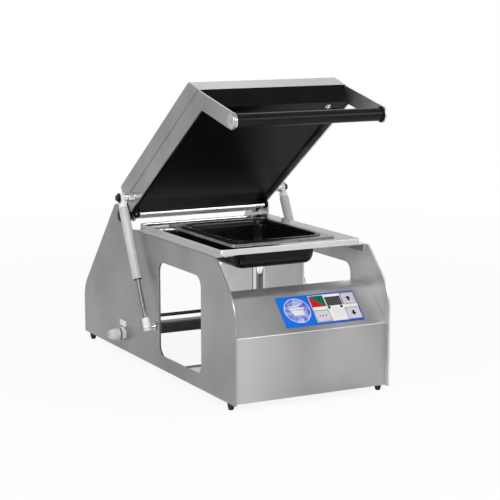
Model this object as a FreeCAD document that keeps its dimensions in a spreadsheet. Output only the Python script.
import FreeCAD, Part
import math
import os
import re
import Sketcher

# A manual tabletop machine that seals film onto a food tray.
#
# +X runs to the operator's right, +Y to the back and +Z up. The bench is at Z = 0.
# The stand is drawn with Y measured back from the front edges of its side plates.
# The lid is drawn shut, with its hinge axis at the origin, and is then turned open.
# Every label that ends in left or right is named from the operator's side.

DIMENSIONS = {
    # stand
    "outer_half": 145.0,         # side plates, outer faces
    "plate_gauge": 3.0,
    "foot_height": 12.0,
    "foot_radius": 6.0,
    "plate_rear": 646.0,
    "plate_top": 243.0,
    "plate_nose": 175.0,         # height where the 45 degree front slope would start
    "nose_radius": 84.5,
    "hump_front": 430.0,
    "hump_top": 281.0,
    "slant_start": 486.0,
    "slant_end": 101.0,
    "flange_width": 22.0,
    "foot_inset": 27.0,          # foot centres, in from the plates' front and rear edges
    "window_front": 125.0,
    "window_rear": 293.0,
    "window_low": 36.4,
    "window_high": 203.0,
    "window_radius": 19.0,
    # housing
    "sheet_gauge": 2.0,
    "housing_front": 8.5,
    "housing_bend": 119.5,
    "housing_top": 175.0,
    "housing_rear": 122.0,
    "pan_rear": 258.0,
    # control panel, measured up the slope from the lower bend
    "overlay_left": -42.5,
    "overlay_right": 105.8,
    "overlay_low": 10.4,
    "overlay_high": 69.9,
    "overlay_gauge": 0.8,
    "key_gap": 0.25,
    "key_proud": 0.5,
    # table, insert and tray
    "table_half": 131.0,
    "table_front": 76.0,
    "table_rear": 407.0,
    "table_top": 253.5,
    "table_skirt": 10.5,
    "table_gauge": 2.5,
    "insert_half": 97.5,
    "insert_front": 100.0,
    "insert_rear": 358.0,
    "insert_lip": 2.5,
    "tray_centre": 227.5,
    "tray_half_width": 89.0,
    "tray_half_length": 113.5,
    "tray_rim": 8.0,
    "tray_depth": 50.0,
    "tray_wall": 1.2,
    "tray_corner": 30.0,
    "gasket_proud": 0.4,
    "gasket_width": 4.0,
    "column_y": 197.0,
    "column_radius": 12.0,
    # cross members
    "tie_y": 300.0,
    "tie_z": 84.5,
    "tie_side": 20.0,
    "film_rod_z": 105.7,
    "film_rod_radius": 3.0,
    "spindle_y": 545.0,
    "spindle_z": 176.0,
    "spindle_radius": 10.0,
    "journal_radius": 6.0,
    "reel_disc_radius": 36.0,
    # cable gland
    "gland_y": 453.0,
    "gland_z": 43.5,
    "gland_thread": 8.0,
    "gland_bore": 4.0,
    "gland_reach": 29.0,         # how far the nut stands off the side plate
    # lid
    "pivot_y": 458.0,
    "pivot_z": 262.0,
    "lid_open": 35.1,
    "axle_radius": 8.0,
    "running_gap": 0.05,
    "arm_half_gap": 136.5,       # lid arms, inner faces
    "arm_low": -14.0,
    "arm_heel": -9.0,            # the lower edge rises towards the hinge
    "arm_high": 19.5,
    "arm_rear": 30.0,
    "arm_slope": 47.8,
    "arm_width": 28.0,
    "handle_reach": 474.3,
    "handle_drop": 82.7,
    "grip_radius": 11.0,
    "core_radius": 6.0,
    "ring_width": 3.0,
    "end_cap_radius": 12.0,
    "end_cap_gauge": 1.5,
    "cover_half": 141.0,
    "cover_gauge": 1.5,
    "cover_high": 49.5,
    "cover_front": 401.0,
    "cover_nose": 377.0,
    "cover_rear": 20.0,
    "pan_level": 6.0,
    "fascia_half": 130.0,
    "fascia_front": 403.0,
    "fascia_lip": 19.0,
    "hot_half": 96.0,
    "hot_front": 360.0,
    "hot_rear": 98.0,
    "hot_low": -4.0,
    "face_half": 127.0,          # the plate's thin face, which closes the lid from below
    "face_front": 380.0,
    "face_rear": 20.0,
    "face_gauge": 3.0,
    "element_level": 12.0,
    "element_radius": 4.0,
    "roller_reach": 38.5,
    "roller_drop": 18.0,
    "roller_radius": 4.5,
    "roller_half": 127.6,
    # gas springs
    "spring_x": 163.0,
    "ball_y": 304.0,
    "ball_z": 85.5,
    "ball_radius": 5.0,
    "stud_reach": 59.65,
    "stud_height": 5.75,
    "stud_radius": 3.0,
    "eye_bore": 5.5,
    "eye_radius": 8.0,
    "eye_half": 4.0,
    "washer_radius": 9.0,
    "tube_radius": 8.5,
    "tube_start": 88.0,
    "tube_length": 134.0,
    "neck_radius": 7.5,
    "tube_wall": 1.5,
    "piston_rod_radius": 4.0,
}

doc = FreeCAD.newDocument("tray_sealer")
V = FreeCAD.Vector
Placement = FreeCAD.Placement
Rotation = FreeCAD.Rotation

sheet = doc.addObject("Spreadsheet::Sheet", "Sizes")
for row, (alias, number) in enumerate(DIMENSIONS.items(), start=1):
    sheet.set(f"A{row}", alias)
    sheet.set(f"B{row}", str(number))
    sheet.setAlias(f"B{row}", alias)
doc.recompute()

ALIAS = re.compile(r"\b(" + "|".join(sorted(DIMENSIONS, key=len, reverse=True)) + r")\b")
SIDES = (("left", -1), ("right", 1))
subparts = []


def rule(text):
    """Spell out the sheet's name before each alias in an expression."""
    return ALIAS.sub(lambda match: "Sizes." + match.group(), str(text))


def value(text):
    """The number that an expression of the sheet's aliases gives."""
    result = sheet.evalExpression(rule(text))
    return float(getattr(result, "Value", result))


# ---------------------------------------------------------------- frames

# the side plates reach furthest forward and back, so the middle of the machine is theirs
CENTRE_Y = value("plate_rear") / 2

STAND = Placement(V(0, -CENTRE_Y, 0), Rotation())
LID = Placement(V(0, value("pivot_y") - CENTRE_Y, value("pivot_z")),
                Rotation(V(1, 0, 0), -value("lid_open")))
PANEL_ON_STAND = Placement(V(0, value("housing_front"), value("housing_bend")),
                           Rotation(V(1, 0, 0), 45))
PANEL = STAND.multiply(PANEL_ON_STAND)


def lid_point(reach, height):
    """A point of the open lid in the stand's own Y and Z."""
    point = Rotation(V(1, 0, 0), -value("lid_open")).multVec(V(0, -reach, height))
    return point.y + value("pivot_y"), point.z + value("pivot_z")


STUD_Y, STUD_Z = lid_point(value("stud_reach"), value("stud_height"))
SPRING_LENGTH = math.hypot(STUD_Y - value("ball_y"), STUD_Z - value("ball_z"))
SPRING_RISE = math.degrees(math.atan2(STUD_Z - value("ball_z"), STUD_Y - value("ball_y")))


def spring_frame(sign):
    """Origin at a gas spring's lower ball, with Z up along the spring."""
    corner = V(sign * value("spring_x"), value("ball_y") - CENTRE_Y, value("ball_z"))
    return Placement(corner, Rotation(V(1, 0, 0), SPRING_RISE - 90))


# ---------------------------------------------------------------- primitives

TURNS = {
    "x": Rotation(V(0, 1, 0), 90),
    "y": Rotation(V(1, 0, 0), -90),
    "z": Rotation(),
}


def place_by_rules(solid, corner):
    """Bind where a primitive stands, one rule per axis."""
    for axis, text in zip("xyz", corner):
        solid.setExpression("Placement.Base." + axis, rule(text))


def mirrored(sign, low, high):
    """A pair of rules along X as it stands on the right side, turned over for the left."""
    return (low, high) if sign > 0 else (f"-({high})", f"-({low})")


def box(x, y, z):
    """A box between a low and a high rule along each axis."""
    solid = doc.addObject("Part::Box", "box")
    for side, (low, high) in zip(("Length", "Width", "Height"), (x, y, z)):
        solid.setExpression(side, rule(f"({high}) - ({low})"))
    place_by_rules(solid, (x[0], y[0], z[0]))
    return solid


def along(axis, low, centre):
    """The corner of a round primitive: its low end, and its centre on the other two axes."""
    corner = list(centre)
    corner.insert("xyz".index(axis), low)
    return corner


def rod(axis, radius, span, centre):
    """A cylinder along an axis, between two rules, with its centre on the other two."""
    solid = doc.addObject("Part::Cylinder", "rod")
    solid.Placement = Placement(V(), TURNS[axis])
    solid.setExpression("Radius", rule(radius))
    solid.setExpression("Height", rule(f"({span[1]}) - ({span[0]})"))
    place_by_rules(solid, along(axis, span[0], centre))
    return solid


def taper(axis, radii, span, centre):
    """A cone along an axis, from a low to a high radius."""
    solid = doc.addObject("Part::Cone", "taper")
    solid.Placement = Placement(V(), TURNS[axis])
    solid.setExpression("Radius1", rule(radii[0]))
    solid.setExpression("Radius2", rule(radii[1]))
    solid.setExpression("Height", rule(f"({span[1]}) - ({span[0]})"))
    place_by_rules(solid, along(axis, span[0], centre))
    return solid


def hexagon(axis, radius, span, centre):
    """A six-sided prism along an axis; the radius is to its corners."""
    solid = doc.addObject("Part::Prism", "hexagon")
    solid.Polygon = 6
    solid.Placement = Placement(V(), TURNS[axis])
    solid.setExpression("Circumradius", rule(radius))
    solid.setExpression("Height", rule(f"({span[1]}) - ({span[0]})"))
    place_by_rules(solid, along(axis, span[0], centre))
    return solid


def ball(radius, centre):
    """A sphere, turned so that its seam stays clear of what enters it along X."""
    solid = doc.addObject("Part::Sphere", "ball")
    solid.Placement = Placement(V(), Rotation(V(0, 0, 1), 90))
    solid.setExpression("Radius", rule(radius))
    place_by_rules(solid, centre)
    return solid


def fuse(*solids):
    result = doc.addObject("Part::MultiFuse", "fuse")
    result.Shapes = list(solids)
    result.Refine = True
    return result


def cut(base, *tools):
    result = doc.addObject("Part::Cut", "cut")
    result.Base = base
    result.Tool = tools[0] if len(tools) == 1 else fuse(*tools)
    result.Refine = True
    return result


def subpart(label, frame, *solids):
    """Name a finished piece, or a group of like pieces, and set it in its frame."""
    if len(solids) == 1 and solids[0].TypeId in ("Part::Cut", "Part::MultiFuse", "PartDesign::Body"):
        piece = solids[0]
    else:
        piece = doc.addObject("Part::Compound", "group")
        piece.Links = list(solids)
    piece.Label = label
    piece.Placement = frame
    subparts.append(piece)
    return piece


# ---------------------------------------------------------------- sketched bodies

PLANE_AXES = {"YZ_Plane": (1, 2, 0), "XY_Plane": (0, 1, 2), "XZ_Plane": (0, 2, 1)}


def origin_plane(body, role):
    return next(part for part in body.Origin.OriginFeatures if part.Role == role)


def draw_loop(sketch, corners):
    """A closed polygon whose corners are each held at a pair of rules."""
    points = [V(value(a), value(b), 0) for a, b in corners]
    first = sketch.GeometryCount
    count = len(points)
    for index, point in enumerate(points):
        sketch.addGeometry(Part.LineSegment(point, points[(index + 1) % count]), False)
    for index, (across, up) in enumerate(corners):
        here = first + index
        after = first + (index + 1) % count
        sketch.addConstraint(Sketcher.Constraint("Coincident", here, 2, after, 1))
        for kind, text in (("DistanceX", across), ("DistanceY", up)):
            held = sketch.addConstraint(Sketcher.Constraint(kind, -1, 1, here, 1, value(text)))
            sketch.setExpression(f"Constraints[{held}]", rule(text))


def draw_circle(sketch, radius, centre):
    """A circle whose radius and centre are rules."""
    middle = V(value(centre[0]), value(centre[1]), 0)
    circle = sketch.addGeometry(Part.Circle(middle, V(0, 0, 1), value(radius)), False)
    held = sketch.addConstraint(Sketcher.Constraint("Radius", circle, value(radius)))
    sketch.setExpression(f"Constraints[{held}]", rule(radius))
    for kind, text in (("DistanceX", centre[0]), ("DistanceY", centre[1])):
        held = sketch.addConstraint(Sketcher.Constraint(kind, -1, 1, circle, 3, value(text)))
        sketch.setExpression(f"Constraints[{held}]", rule(text))


def add_sketch(body, plane, level, loops, circles=()):
    """A sketch on one of the body's own planes, moved along its normal to a level."""
    sketch = body.newObject("Sketcher::SketchObject", "outline")
    sketch.AttachmentSupport = [(origin_plane(body, plane), "")]
    sketch.MapMode = "FlatFace"
    sketch.setExpression("AttachmentOffset.Base.z", rule(level))
    for corners in loops:
        draw_loop(sketch, corners)
    for radius, centre in circles:
        draw_circle(sketch, radius, centre)
    return sketch


def add_pad(body, sketch, length):
    pad = body.newObject("PartDesign::Pad", "pad")
    pad.Profile = sketch
    pad.setExpression("Length", rule(length))
    doc.recompute()
    return pad


def round_edges(body, radius, chosen):
    """Fillet the edges of the body's tip that pass a test."""
    tip = body.Tip
    names = [f"Edge{number}" for number, edge in enumerate(tip.Shape.Edges, start=1) if chosen(edge)]
    if not names:
        raise RuntimeError(f"no edges to round on {body.Label}")
    fillet = body.newObject("PartDesign::Fillet", "rounding")
    fillet.Base = (tip, names)
    fillet.setExpression("Radius", rule(radius))
    doc.recompute()
    return fillet


def round_corners(body, plane, radius, corners):
    """Fillet the straight edges that run through a plane's corners, along its normal."""
    across, up, normal = PLANE_AXES[plane]
    wanted = [(value(a), value(b)) for a, b in corners]

    def at_a_corner(edge):
        ends = [vertex.Point for vertex in edge.Vertexes]
        if len(ends) != 2 or abs(ends[0][across] - ends[1][across]) > 0.01:
            return False
        if abs(ends[0][up] - ends[1][up]) > 0.01:
            return False
        return any(math.hypot(ends[0][across] - a, ends[0][up] - b) < 0.02 for a, b in wanted)

    return round_edges(body, radius, at_a_corner)


def profile_body(plane, level, length, loops, circles=(), roundings=()):
    """A sheet or bar: loops padded along a plane's normal, then corners rounded."""
    body = doc.addObject("PartDesign::Body", "body")
    sketch = add_sketch(body, plane, level, loops, circles)
    add_pad(body, sketch, length)
    for radius, corners in roundings:
        round_corners(body, plane, radius, corners)
    return body


def rectangle(x, y):
    """The four corners of a rectangle between two pairs of rules."""
    return [(x[0], y[0]), (x[1], y[0]), (x[1], y[1]), (x[0], y[1])]


def rounded_plate(x, y, z, radius, hole=None, hole_radius=None):
    """A level plate with rounded corners, and perhaps a rounded opening."""
    loops = [rectangle(x, y)]
    roundings = [(radius, loops[0])]
    if hole:
        loops.append(rectangle(*hole))
        roundings.append((hole_radius, loops[1]))
    return profile_body("XY_Plane", z[0], f"({z[1]}) - ({z[0]})", loops, roundings=roundings)


def hollow(body, gauge, chosen):
    """Shell the body's tip inwards, leaving the chosen faces open."""
    tip = body.Tip
    names = [f"Face{number}" for number, face in enumerate(tip.Shape.Faces, start=1) if chosen(face)]
    shell = body.newObject("PartDesign::Thickness", "shell")
    shell.Base = (tip, names)
    shell.setExpression("Value", rule(gauge))
    shell.Reversed = True
    shell.Mode = 0
    shell.Join = 0
    doc.recompute()
    return shell


def faces_at_level(level):
    """A test for level faces at a height."""
    def chosen(face):
        bounds = face.BoundBox
        return bounds.ZLength < 0.01 and abs(bounds.ZMin - value(level)) < 0.01
    return chosen


# ---------------------------------------------------------------- stand

PLATE_OUTLINE = {
    "front_low": ("0", "foot_height"),
    "nose": ("0", "plate_nose"),
    "top_front": ("plate_top - plate_nose", "plate_top"),
    "hump_foot": ("hump_front", "plate_top"),
    "hump_shoulder": ("hump_front", "hump_top"),
    "apex": ("slant_start", "hump_top"),
    "slant_foot": ("plate_rear", "slant_end"),
    "rear_low": ("plate_rear", "foot_height"),
}
WINDOW = rectangle(("window_front", "window_rear"), ("window_low", "window_high"))


def side_plate(side, sign):
    """A flat plate with a window, and a flange folded in along its foot."""
    circles = [
        ("axle_radius + running_gap", ("pivot_y", "pivot_z")),
        ("stud_radius", ("ball_y", "ball_z")),
    ]
    if side == "left":
        circles.append(("gland_thread", ("gland_y", "gland_z")))
    inner = "outer_half - plate_gauge"
    level = mirrored(sign, inner, "outer_half")[0]
    plate = profile_body(
        "YZ_Plane", level, "plate_gauge", [list(PLATE_OUTLINE.values()), WINDOW], circles,
        [("nose_radius", [PLATE_OUTLINE["nose"]]),
         ("6", [PLATE_OUTLINE["top_front"], PLATE_OUTLINE["hump_foot"]]),
         ("18", [PLATE_OUTLINE["hump_shoulder"]]),
         ("12", [PLATE_OUTLINE["apex"]]),
         ("60", [PLATE_OUTLINE["slant_foot"]]),
         ("window_radius", WINDOW)])
    flange = box(mirrored(sign, f"{inner} - flange_width", inner),
                 ("housing_front + sheet_gauge", "plate_rear - 4"),
                 ("foot_height", "foot_height + plate_gauge"))
    subpart(f"side_plate_{side}", STAND, fuse(plate, flange))


for side, sign in SIDES:
    side_plate(side, sign)

feet = []
for x in ("foot_radius - outer_half", "outer_half - foot_radius"):
    for y in ("foot_inset", "plate_rear - foot_inset"):
        feet.append(fuse(taper("z", ("foot_radius - 1.5", "foot_radius"), ("0", "foot_height - 3"), (x, y)),
                         rod("z", "foot_radius", ("foot_height - 3", "foot_height"), (x, y))))
subpart("rubber_feet", STAND, *feet)

# the housing is one sheet, bent at the front, at the top of the slope and at the rear
BEND_IN = "sheet_gauge * tan(22.5)"
SLOPE_TOP = "housing_front + housing_top - housing_bend"
HOUSING_OUTER = [
    ("housing_front", "foot_height + 0.5"),
    ("housing_front", "housing_bend"),
    (SLOPE_TOP, "housing_top"),
    ("housing_rear", "housing_top"),
    ("housing_rear", "foot_height + plate_gauge + sheet_gauge"),
]
HOUSING_INNER = [
    ("housing_rear - sheet_gauge", "foot_height + plate_gauge + sheet_gauge"),
    ("housing_rear - sheet_gauge", "housing_top - sheet_gauge"),
    (f"{SLOPE_TOP} + {BEND_IN}", "housing_top - sheet_gauge"),
    ("housing_front + sheet_gauge", f"housing_bend - {BEND_IN}"),
    ("housing_front + sheet_gauge", "foot_height + 0.5"),
]
housing_sheet = profile_body(
    "YZ_Plane", "plate_gauge - outer_half", "2 * (outer_half - plate_gauge)",
    [HOUSING_OUTER + HOUSING_INNER], (),
    [("4", [HOUSING_OUTER[1]]), ("2", [HOUSING_INNER[3]]),
     ("12", [HOUSING_OUTER[2]]), ("10", [HOUSING_INNER[2]]),
     ("6", [HOUSING_OUTER[3]]), ("4", [HOUSING_INNER[1]])])
control_opening = doc.addObject("Part::Compound", "group")
control_opening.Links = [box(("16", "104"), ("13.5", "67.5"), ("-6", "4"))]
control_opening.Placement = PANEL_ON_STAND
subpart("control_housing", STAND, cut(housing_sheet, control_opening))

PAN_LOW = "foot_height + plate_gauge"
PAN_TOP = "foot_height + plate_gauge + sheet_gauge"
base_sheet = box(("plate_gauge - outer_half", "outer_half - plate_gauge"),
                 ("housing_front + sheet_gauge", "pan_rear"), (PAN_LOW, PAN_TOP))
base_lip = box(("plate_gauge - outer_half", "outer_half - plate_gauge"),
               ("pan_rear - sheet_gauge", "pan_rear"), (PAN_LOW, "foot_height + 8"))
subpart("base_pan", STAND, fuse(base_sheet, base_lip))

transformer_core = box(("-95", "-35"), ("45", "93"), (PAN_TOP, f"{PAN_TOP} + 8"))
transformer_yoke = box(("-91", "-39"), ("47", "91"), (f"{PAN_TOP} + 8", f"{PAN_TOP} + 46"))
transformer_coil = box(("-85", "-45"), ("41", "97"), (f"{PAN_TOP} + 14", f"{PAN_TOP} + 40"))
subpart("transformer", STAND, fuse(transformer_core, transformer_yoke, transformer_coil))

# ---------------------------------------------------------------- controls

KEYS = {
    "key_start_stop": (("18", "44.5"), ("44.2", "65.7")),
    "key_program": (("18.6", "44.6"), ("15.6", "36.6")),
    "key_up": (("78.6", "102.4"), ("44.8", "65.4")),
    "key_down": (("77.2", "102.8"), ("15.4", "36.8")),
}
DISPLAY = (("47", "75.5"), ("44.4", "61.6"))
LIGHTS = (("48.8", "41"), ("72.3", "41"))


def about(centre, half):
    """A pair of rules at equal distances from a centre."""
    return f"({centre}) - ({half})", f"({centre}) + ({half})"


def middle(span):
    """The rule half way between a pair of rules."""
    return f"(({span[0]}) + ({span[1]})) / 2"


def grown(span, gap):
    """A pair of rules moved apart by a gap at each end."""
    return f"({span[0]}) - ({gap})", f"({span[1]}) + ({gap})"


overlay_sheet = rounded_plate(("overlay_left", "overlay_right"), ("overlay_low", "overlay_high"),
                              ("0", "overlay_gauge"), "2.5")
overlay_holes = [box(grown(x, "key_gap"), grown(y, "key_gap"), ("-1", "overlay_gauge + 1"))
                 for x, y in list(KEYS.values()) + [DISPLAY]]
overlay_holes += [rod("z", "1.6", ("-1", "overlay_gauge + 1"), centre) for centre in LIGHTS]
subpart("control_overlay", PANEL, cut(overlay_sheet, *overlay_holes))

for name, (x, y) in KEYS.items():
    key = rounded_plate(x, y, ("-sheet_gauge", "overlay_gauge + key_proud"), "1.5")
    subpart(name, PANEL, key)

display_glass = box(DISPLAY[0], DISPLAY[1], ("-9", "overlay_gauge - 0.2"))
subpart("display_module", PANEL, display_glass)

board = box(("17", "103"), ("14.5", "66.5"), ("-10.6", "-9"))
switches = [rod("z", "3", ("-9", "-sheet_gauge - 1"), (middle(x), middle(y))) for x, y in KEYS.values()]
lights = [rod("z", "1.4", ("-9", "overlay_gauge - 0.2"), centre) for centre in LIGHTS]
subpart("control_board", PANEL, fuse(board, *switches, *lights))

# ---------------------------------------------------------------- table, insert and tray

TABLE = (("-table_half", "table_half"), ("table_front", "table_rear"))
table = rounded_plate(TABLE[0], TABLE[1], ("table_top - table_skirt", "table_top"), "6")
hollow(table, "table_gauge", faces_at_level("table_top - table_skirt"))
round_edges(table, "1.2", lambda edge: abs(edge.BoundBox.ZMin - value("table_top")) < 0.01)
CORE_X = ("-insert_half + 7", "insert_half - 7")
CORE_Y = ("insert_front + 7", "insert_rear - 7")
table_opening = rounded_plate(grown(CORE_X, "0.5"), grown(CORE_Y, "0.5"),
                              ("table_top - table_gauge - 1", "table_top + 1"), "10")
subpart("table_plate", STAND, cut(table, table_opening))

BRACKET_TOP = "table_top - table_gauge"
SKIRT_LOW = "table_top - table_skirt"
table_brackets = []
bracket_screws = []
for side, sign in SIDES:
    wall = mirrored(sign, "outer_half - plate_gauge - 2", "outer_half - plate_gauge")
    shelf = mirrored(sign, "table_half - 26", "outer_half - plate_gauge")
    screw_x = f"{sign} * (table_half - 14)"
    length = ("table_front + 4", "table_rear - 4")
    leg = box(wall, length, (f"{SKIRT_LOW} - 14", f"{SKIRT_LOW} - 2"))
    table_brackets.append(fuse(box(shelf, length, (f"{SKIRT_LOW} - 2", SKIRT_LOW)), leg))
    for screw_y in ("table_front + 15", "table_rear - 15"):
        screw_at = (screw_x, screw_y)
        bracket_screws.append(rod("z", "5", (SKIRT_LOW, BRACKET_TOP), screw_at))
        bracket_screws.append(rod("z", "4", (f"{SKIRT_LOW} - 4.2", f"{SKIRT_LOW} - 2"), screw_at))
subpart("table_brackets", STAND, *table_brackets)
subpart("table_screws", STAND, *bracket_screws)

GASKET_OUT = (("-tray_half_width + 1", "tray_half_width - 1"),
              ("tray_centre - tray_half_length + 1", "tray_centre + tray_half_length - 1"))
GASKET_IN = tuple(grown(span, "-gasket_width") for span in GASKET_OUT)
GASKET_Z = ("table_top + insert_lip - 1.6", "table_top + insert_lip + gasket_proud")
INSERT_HOLE = (("-tray_half_width + tray_rim - 1.5", "tray_half_width - tray_rim + 1.5"),
               ("tray_centre - tray_half_length + tray_rim - 1.5",
                "tray_centre + tray_half_length - tray_rim + 1.5"))
insert_lip = rounded_plate(("-insert_half", "insert_half"), ("insert_front", "insert_rear"),
                           ("table_top", "table_top + insert_lip"), "8", INSERT_HOLE, "tray_corner")
insert_core = rounded_plate(CORE_X, CORE_Y, ("table_top - table_skirt", "table_top"), "9.5",
                            INSERT_HOLE, "tray_corner")
gasket_groove = rounded_plate(*GASKET_OUT, (GASKET_Z[0], "table_top + insert_lip + 1"), "tray_corner - 1",
                              GASKET_IN, "tray_corner - 5")
pins = [rod("z", "3.5", ("table_top + 1", "table_top + insert_lip + 1.2"), (x, "insert_rear - 8"))
        for x in ("-62", "62")]
subpart("tray_insert", STAND, cut(fuse(insert_lip, insert_core, *pins), gasket_groove))
subpart("sealing_gasket", STAND,
        rounded_plate(*GASKET_OUT, GASKET_Z, "tray_corner - 1", GASKET_IN, "tray_corner - 5"))

# the tray hangs by its rim; its walls lean in towards the bottom
RIM_LOW = "table_top + insert_lip + gasket_proud"
RIM_TOP = f"{RIM_LOW} + 1"
CUP_X = ("-tray_half_width + tray_rim", "tray_half_width - tray_rim")
CUP_Y = ("tray_centre - tray_half_length + tray_rim", "tray_centre + tray_half_length - tray_rim")


def cup_block(shrink):
    """The tray's cup as a solid block with drafted walls, drawn in on every side by a rule."""
    body = doc.addObject("PartDesign::Body", "body")
    outline = rectangle(grown(CUP_X, f"-({shrink})"), grown(CUP_Y, f"-({shrink})"))
    pad = add_pad(body, add_sketch(body, "XY_Plane", RIM_TOP, [outline]), f"tray_depth - ({shrink})")
    pad.Reversed = True
    pad.TaperAngle = -7
    doc.recompute()
    floor = value(f"{RIM_TOP} - tray_depth + ({shrink})")
    round_edges(body, f"tray_corner - ({shrink})", lambda edge: edge.BoundBox.ZLength > 10)
    round_edges(body, f"14 - ({shrink})", lambda edge: abs(edge.BoundBox.ZMax - floor) < 0.01)
    return body


cup = cut(cup_block("0"), cup_block("tray_wall"))
tray_rim = rounded_plate(("-tray_half_width", "tray_half_width"),
                         ("tray_centre - tray_half_length", "tray_centre + tray_half_length"),
                         (RIM_LOW, RIM_TOP), "tray_corner + 2",
                         (grown(CUP_X, "-0.6"), grown(CUP_Y, "-0.6")), "tray_corner - 0.6")
subpart("food_tray", STAND, fuse(cup, tray_rim))

PAD_TOP = f"{RIM_TOP} - tray_depth - 0.3"
subpart("tray_pad", STAND, rod("z", "25", (f"{PAD_TOP} - 5", PAD_TOP), ("0", "column_y")))
column = cut(fuse(rod("z", "column_radius", (PAN_TOP, f"{PAD_TOP} - 5"), ("0", "column_y")),
                  rod("z", "29", (PAN_TOP, f"{PAN_TOP} + 5"), ("0", "column_y"))),
             rod("z", "column_radius - 2", (PAN_TOP, f"{PAD_TOP} - 5"), ("0", "column_y")))
subpart("tray_column", STAND, column)

# ---------------------------------------------------------------- cross members

INNER = ("plate_gauge - outer_half", "outer_half - plate_gauge")
tie_wall = ("tie_y - tie_side / 2", "tie_y + tie_side / 2")
tie_rise = ("tie_z - tie_side / 2", "tie_z + tie_side / 2")
tie_section = rectangle(tie_wall, tie_rise)
tie_bar = profile_body("YZ_Plane", INNER[0], "2 * (outer_half - plate_gauge)", [tie_section],
                       (), [("2", tie_section)])
tie_bore = rod("x", "stud_radius", ("-outer_half", "outer_half"), ("ball_y", "ball_z"))
subpart("tie_bar", STAND, cut(tie_bar, tie_bore))
subpart("film_rod", STAND, rod("x", "film_rod_radius", INNER, ("tie_y", "film_rod_z")))

AXLE = ("pivot_y", "pivot_z")
subpart("hinge_axle", STAND, rod("x", "axle_radius", ("-outer_half - 2", "outer_half + 2"), AXLE))
CAP_RADII = ("12", "10.5")
caps = []
collars = []
for side, sign in SIDES:
    dome = taper("x", CAP_RADII[::sign], mirrored(sign, "outer_half", "outer_half + 4.5"), AXLE)
    caps.append(cut(dome, rod("x", "axle_radius", mirrored(sign, "outer_half - 1", "outer_half + 2"), AXLE)))
    collar = mirrored(sign, "119", "123.6")
    collars.append(cut(rod("x", "axle_radius + 4", collar, AXLE), rod("x", "axle_radius", collar, AXLE)))
subpart("axle_caps", STAND, *caps)
subpart("axle_collars", STAND, *collars)

# the film reel sits on a spindle that drops into two slotted brackets
SPINDLE = ("spindle_y", "spindle_z")
SLOT_HALF = "(journal_radius + running_gap)"
slotted_blocks = []
for side, sign in SIDES:
    ends = mirrored(sign, "132", "outer_half - plate_gauge")
    block = box(ends, about("spindle_y", "14"), ("spindle_z - 16", "spindle_z + 14"))
    seat = rod("x", SLOT_HALF, ends, SPINDLE)
    mouth = box(ends, about("spindle_y", SLOT_HALF), ("spindle_z", "spindle_z + 15"))
    slotted_blocks.append(cut(block, seat, mouth))
subpart("spindle_brackets", STAND, *slotted_blocks)
spindle = fuse(rod("x", "spindle_radius", ("-131", "131"), SPINDLE),
               rod("x", "journal_radius", ("-141.5", "141.5"), SPINDLE))
subpart("reel_spindle", STAND, spindle)
discs = []
for side, sign in SIDES:
    disc = fuse(rod("x", "reel_disc_radius", mirrored(sign, "108", "112"), SPINDLE),
                rod("x", "spindle_radius + 6", mirrored(sign, "112", "126"), SPINDLE))
    discs.append(cut(disc, rod("x", "spindle_radius", ("-130", "130"), SPINDLE)))
subpart("reel_discs", STAND, *discs)

# ---------------------------------------------------------------- cable gland and blank plate

GLAND = ("gland_y", "gland_z")
GLAND_FACE = "-outer_half"
gland_bore = rod("x", "gland_bore", (f"{GLAND_FACE} - 60", f"{GLAND_FACE} + 60"), GLAND)
gland_neck = (f"{GLAND_FACE} - 14", f"{GLAND_FACE} - 7")
gland_body = cut(fuse(hexagon("x", "13", (f"{GLAND_FACE} - 7", GLAND_FACE), GLAND),
                      rod("x", "gland_thread", (f"{GLAND_FACE} - 7", f"{GLAND_FACE} + 12"), GLAND),
                      rod("x", "9", gland_neck, GLAND)), gland_bore)
subpart("gland_body", STAND, gland_body)
gland_nut = cut(fuse(rod("x", "11", (f"{GLAND_FACE} - 22", f"{GLAND_FACE} - 8"), GLAND),
                     taper("x", ("7.5", "11"),
                           (f"{GLAND_FACE} - gland_reach", f"{GLAND_FACE} - 22"), GLAND)),
                rod("x", "9", gland_neck, GLAND),
                gland_bore)
subpart("gland_nut", STAND, gland_nut)
subpart("gland_locknut", STAND,
        cut(hexagon("x", "12.5", ("-outer_half + plate_gauge", "-outer_half + plate_gauge + 5"), GLAND),
            rod("x", "gland_thread", ("-outer_half", "-outer_half + 14"), GLAND)))
subpart("blank_plate", STAND, box(("-outer_half - 0.6", "-outer_half"), ("gland_y - 11", "gland_y + 17"),
                                  ("gland_z + 14", "gland_z + 24.5")))

# ---------------------------------------------------------------- lid

ARM_HALF = "arm_width / 2"
HANDLE = ("-handle_reach", "-handle_drop")


def arm_corner(ahead, aside):
    """A point beside the handle axis: ahead along the arm, and aside towards its upper edge."""
    reach = f"handle_reach + ({ahead}) * cos(arm_slope) + ({aside}) * sin(arm_slope)"
    height = f"-handle_drop - ({ahead}) * sin(arm_slope) + ({aside}) * cos(arm_slope)"
    return f"-({reach})", height


def arm_edge_at(height, aside):
    """Where the arm's upper or lower edge crosses a height."""
    across = f"(({height}) + handle_drop - ({aside}) * cos(arm_slope)) / tan(arm_slope)"
    return f"-(handle_reach + ({aside}) * sin(arm_slope) - {across})", height


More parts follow.
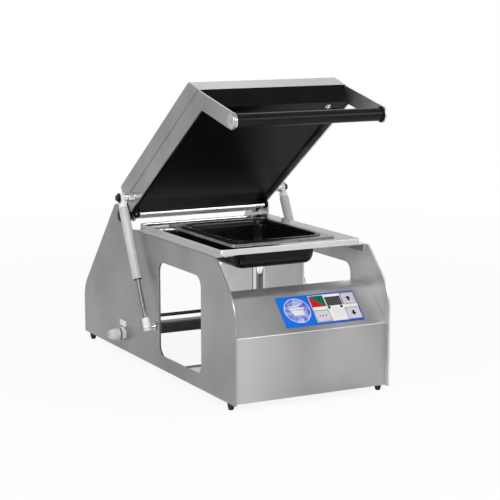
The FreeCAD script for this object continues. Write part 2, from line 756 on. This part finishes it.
ARM_TIP = [arm_corner(ARM_HALF, f"-{ARM_HALF}"), arm_corner(ARM_HALF, ARM_HALF)]
ARM_ELBOW = [arm_edge_at("arm_low", f"-{ARM_HALF}"), arm_edge_at("arm_high", ARM_HALF)]
ARM_OUTLINE = [
    ("-arm_rear", "arm_heel"),
    ARM_ELBOW[0],
    ARM_TIP[0],
    ARM_TIP[1],
    ARM_ELBOW[1],
    ("-arm_rear - 2", "arm_high"),
]
for side, sign in SIDES:
    level = mirrored(sign, "arm_half_gap", "arm_half_gap + plate_gauge")[0]
    arm = profile_body(
        "YZ_Plane", level, "plate_gauge", [ARM_OUTLINE],
        [("6", HANDLE), ("stud_radius", ("-stud_reach", "stud_height"))],
        [(f"{ARM_HALF} - 0.05", ARM_TIP), ("3", ARM_ELBOW)])
    subpart(f"lid_arm_{side}", LID, arm)

# the hood is hollow; its front face leans back above the fascia
NOSE_SLOPE = "(cover_front - cover_nose) / (cover_high - arm_high)"
NOSE_SHIFT = f"cover_gauge * sqrt(1 + ({NOSE_SLOPE})^2)"
COVER_OUTLINE = [
    ("-cover_rear", "arm_high"),
    ("-cover_front", "arm_high"),
    ("-cover_nose", "cover_high"),
    ("-cover_rear", "cover_high"),
]
COVER_HOLLOW = [
    ("-cover_rear - cover_gauge", "arm_high - 1"),
    (f"-cover_front + {NOSE_SHIFT} - {NOSE_SLOPE}", "arm_high - 1"),
    (f"-cover_nose + {NOSE_SHIFT} - cover_gauge * {NOSE_SLOPE}", "cover_high - cover_gauge"),
    ("-cover_rear - cover_gauge", "cover_high - cover_gauge"),
]


def cover_block(outline, half, top_radius, side_radius):
    """The hood's outer or inner block, with its top edges rounded."""
    block = profile_body("YZ_Plane", f"-({half})", f"2 * ({half})", [outline], (),
                         [(top_radius, [outline[2], outline[3]])])
    top_edge = value(outline[2][1])
    round_edges(block, side_radius,
                lambda edge: edge.BoundBox.XLength < 0.01 and abs(edge.BoundBox.ZMin - top_edge) < 0.01)
    return block


cover = cut(cover_block(COVER_OUTLINE, "cover_half", "4", "3"),
            cover_block(COVER_HOLLOW, "cover_half - cover_gauge", "4 - cover_gauge", "3 - cover_gauge"))
subpart("lid_cover", LID, cover)

PAN_X = ("-arm_half_gap", "arm_half_gap")
PAN_Y = ("-fascia_front + fascia_lip", "-arm_rear - 2")
heater_floor = box(PAN_X, PAN_Y, ("pan_level", "pan_level + 2"))
pan_front = box(PAN_X, ("-fascia_front + 3", "-fascia_front + fascia_lip"),
                ("arm_high - 2.5", "arm_high - 0.5"))
pan_riser = box(PAN_X, ("-fascia_front + fascia_lip - 2", "-fascia_front + fascia_lip"),
                ("pan_level", "arm_high - 0.5"))
pan_back = box(PAN_X, ("-arm_rear - 4", "-arm_rear - 2"), ("pan_level", "arm_high - 0.5"))
subpart("heater_pan", LID, fuse(heater_floor, pan_riser, pan_front, pan_back))

FASCIA_X = ("-fascia_half", "fascia_half")
fascia_face = box(FASCIA_X, ("-fascia_front", "-fascia_front + 3"), ("arm_low - 1", "arm_high - 0.5"))
fascia_foot = box(FASCIA_X, ("-fascia_front", "-fascia_front + fascia_lip"), ("arm_low - 1", "arm_low + 1"))
fascia_back = box(FASCIA_X, ("-fascia_front + fascia_lip - 2", "-fascia_front + fascia_lip"),
                  ("arm_low - 1", "pan_level"))
subpart("lid_fascia", LID, fuse(fascia_face, fascia_foot, fascia_back))
striker = fuse(rod("z", "3", ("arm_low - 6", "arm_low - 1"), ("96", "-fascia_front + 9.5")),
               hexagon("z", "5.5", ("arm_low - 3.5", "arm_low - 1"), ("96", "-fascia_front + 9.5")))
subpart("lid_striker", LID, striker)

HOT_Y = ("-hot_front", "-hot_rear")
hot_face = rounded_plate(("-face_half", "face_half"), ("-face_front", "-face_rear"),
                         ("hot_low", "hot_low + face_gauge"), "6")
hot_block = rounded_plate(("-hot_half", "hot_half"), HOT_Y, ("hot_low + face_gauge", "pan_level - 1"), "6")
spacers = [rod("z", "5", ("pan_level - 1", "pan_level"), (x, y))
           for x in ("-hot_half + 16", "hot_half - 16") for y in ("-hot_front + 20", "-hot_rear - 20")]
subpart("heating_plate", LID, fuse(hot_face, hot_block, *spacers))

element_rows = ("-hot_front + 30", "-hot_rear - 30")
element_rise = about("element_level", "element_radius")
element_runs = [rod("y", "element_radius", element_rows, (x, "element_level"))
                for x in ("-60", "-20", "20", "60")]
element_ends = [box(("-64", "64"), about(y, "element_radius"), element_rise) for y in element_rows]
subpart("heating_element", LID, fuse(*element_runs, *element_ends))
subpart("insulation_board", LID,
        box(grown(("-hot_half", "hot_half"), "20"), grown(HOT_Y, "10"),
            (element_rise[1], f"{element_rise[1]} + 18")))
SENSOR = ("84", "-hot_front + 40")
subpart("heat_sensor", LID, fuse(rod("z", "5", ("pan_level + 2", "pan_level + 9"), SENSOR),
                                 rod("z", "8", ("pan_level + 2", "pan_level + 4"), SENSOR)))

# ---------------------------------------------------------------- handle

handle_core = rod("x", "core_radius", grown(("-arm_half_gap", "arm_half_gap"), "plate_gauge"), HANDLE)
end_caps = []
for side, sign in SIDES:
    cap = mirrored(sign, "arm_half_gap + plate_gauge", "arm_half_gap + plate_gauge + end_cap_gauge")
    end_caps.append(rod("x", "end_cap_radius", cap, HANDLE))
subpart("handle_core", LID, fuse(handle_core, *end_caps))
core_hole = rod("x", "core_radius", ("-arm_half_gap", "arm_half_gap"), HANDLE)
grip = rod("x", "grip_radius", ("-arm_half_gap + ring_width", "arm_half_gap - ring_width"), HANDLE)
subpart("handle_grip", LID, cut(grip, core_hole))
rings = []
for side, sign in SIDES:
    ring = rod("x", "grip_radius + 2", mirrored(sign, "arm_half_gap - ring_width", "arm_half_gap"), HANDLE)
    rings.append(cut(ring, core_hole))
subpart("handle_rings", LID, *rings)

# ---------------------------------------------------------------- hinge arms and film roller

HINGE_OUTLINE = [
    ("-75", "pan_level"),
    ("-roller_reach - 8", "-4"),
    ("-roller_reach - 6", "-roller_drop - 6"),
    ("-roller_reach + 6", "-roller_drop - 6"),
    ("-26", "-11"),
    ("11", "-11"),
    ("11", "11"),
    ("-4", "11"),
    ("-12", "arm_high - 0.5"),
    ("-31.5", "arm_high - 0.5"),
    ("-31.5", "pan_level"),
]
ROLLER = ("-roller_reach", "-roller_drop")
HINGE_INNER = "128"
hinge_arms = []
bushes = []
for side, sign in SIDES:
    hinge_arms.append(profile_body(
        "YZ_Plane", mirrored(sign, HINGE_INNER, f"{HINGE_INNER} + 5")[0], "5", [HINGE_OUTLINE],
        [("axle_radius + 2", ("0", "0")), ("2.5 + running_gap", ROLLER)],
        [("9", [HINGE_OUTLINE[5], HINGE_OUTLINE[6]]), ("5.9", [HINGE_OUTLINE[2], HINGE_OUTLINE[3]])]))
    sleeve = mirrored(sign, HINGE_INNER, f"{HINGE_INNER} + 6.5")
    collar = mirrored(sign, f"{HINGE_INNER} + 5", f"{HINGE_INNER} + 6.5")
    bushes.append(cut(fuse(rod("x", "axle_radius + 2", sleeve, ("0", "0")),
                           rod("x", "axle_radius + 4", collar, ("0", "0"))),
                      rod("x", "axle_radius + running_gap", sleeve, ("0", "0"))))
subpart("hinge_arms", LID, *hinge_arms)
subpart("hinge_bushes", LID, *bushes)
roller = fuse(rod("x", "roller_radius", ("-roller_half", "roller_half"), ROLLER),
              rod("x", "2.5", ("-133.5", "133.5"), ROLLER))
subpart("film_roller", LID, roller)

# ---------------------------------------------------------------- gas springs

STUD = ("-stud_reach", "stud_height")
BALL = ("ball_y", "ball_z")
ball_studs = []
lid_studs = []
stud_nuts = []
for side, sign in SIDES:
    def across(low, high):
        """A pair of rules along X on this side."""
        return mirrored(sign, low, high)

    ball_studs.append(fuse(rod("x", "stud_radius", across("outer_half - 20", "spring_x - 3"), BALL),
                           hexagon("x", "7.5", across("outer_half", "outer_half + 5"), BALL),
                           rod("x", "4.2", across("outer_half + 5", "outer_half + 8"), BALL),
                           ball("ball_radius", (f"{sign} * spring_x", *BALL))))
    lid_studs.append(fuse(rod("x", "stud_radius", across("arm_half_gap", "spring_x + 9"), STUD),
                          rod("x", "7.5", across("arm_half_gap + plate_gauge", "spring_x - 6"), STUD),
                          rod("x", "washer_radius", across("spring_x - 6", "spring_x - 4.3"), STUD)))
    nut = fuse(rod("x", "washer_radius", across("spring_x + 4.3", "spring_x + 5.5"), STUD),
               hexagon("x", "5.8", across("spring_x + 5.5", "spring_x + 10"), STUD))
    stud_nuts.append(cut(nut, rod("x", "stud_radius", across("spring_x", "spring_x + 9"), STUD)))
subpart("ball_studs", STAND, *ball_studs)
subpart("lid_studs", LID, *lid_studs)
subpart("stud_nuts", LID, *stud_nuts)

# each spring is drawn upright on its lower ball; its eye is flat, so that the washers clear it
CENTRE = ("0", "0")
EYE = ("0", str(SPRING_LENGTH))
NECK_TOP = f"{SPRING_LENGTH} - washer_radius - 3"
TUBE_TOP = "tube_start + tube_length"
SEAL = "6"
for side, sign in SIDES:
    frame = spring_frame(sign)
    socket = cut(rod("z", "ball_radius + 1.9", ("-6.5", "16"), CENTRE),
                 ball("ball_radius + running_gap", ("0", *CENTRE)),
                 rod("x", "4.4", mirrored(sign, "-8", "0"), CENTRE))
    subpart(f"ball_socket_{side}", frame, socket)
    piston = fuse(rod("z", "piston_rod_radius", ("16", "tube_start + 20"), CENTRE),
                  rod("z", "tube_radius - tube_wall - running_gap", ("tube_start + 12", "tube_start + 20"),
                      CENTRE))
    subpart(f"piston_rod_{side}", frame, piston)
    tube = cut(rod("z", "tube_radius", ("tube_start", TUBE_TOP), CENTRE),
               rod("z", "tube_radius - tube_wall", (f"tube_start + {SEAL}", f"{TUBE_TOP} - {SEAL}"), CENTRE),
               rod("z", "piston_rod_radius + running_gap", ("tube_start - 1", f"tube_start + {SEAL} + 1"),
                   CENTRE))
    subpart(f"spring_tube_{side}", frame, tube)
    eye = cut(fuse(rod("z", "neck_radius", (TUBE_TOP, NECK_TOP), CENTRE),
                   box(("-eye_half", "eye_half"), ("-5", "5"), (f"{NECK_TOP} - 1", f"{SPRING_LENGTH} - 4")),
                   rod("x", "eye_radius", ("-eye_half", "eye_half"), EYE)),
              rod("x", "eye_bore", ("-5", "5"), EYE))
    subpart(f"spring_eye_{side}", frame, eye)

# ---------------------------------------------------------------- check and write

doc.recompute()
for thing in doc.Objects:
    if "Invalid" in thing.State or "Error" in thing.State:
        raise RuntimeError(f"{thing.Label} ({thing.Name}) failed: {thing.State}")
labels = [piece.Label for piece in subparts]
if len(set(labels)) != len(labels) or len(labels) > 60:
    raise RuntimeError("labels must be unique, and at most 60")
os.makedirs("parts", exist_ok=True)
for piece in subparts:
    shape = piece.Shape
    if shape.isNull() or not shape.isValid() or shape.Volume <= 0:
        raise RuntimeError(f"{piece.Label} has no valid solid")
    shape.exportStep(os.path.join("parts", piece.Label + ".step"))
    print(f"{piece.Label}: {len(shape.Solids)} solid(s), {shape.Volume / 1000:.2f} cm3")
print(len(subparts), "sub-parts; Y shift", round(CENTRE_Y, 3))
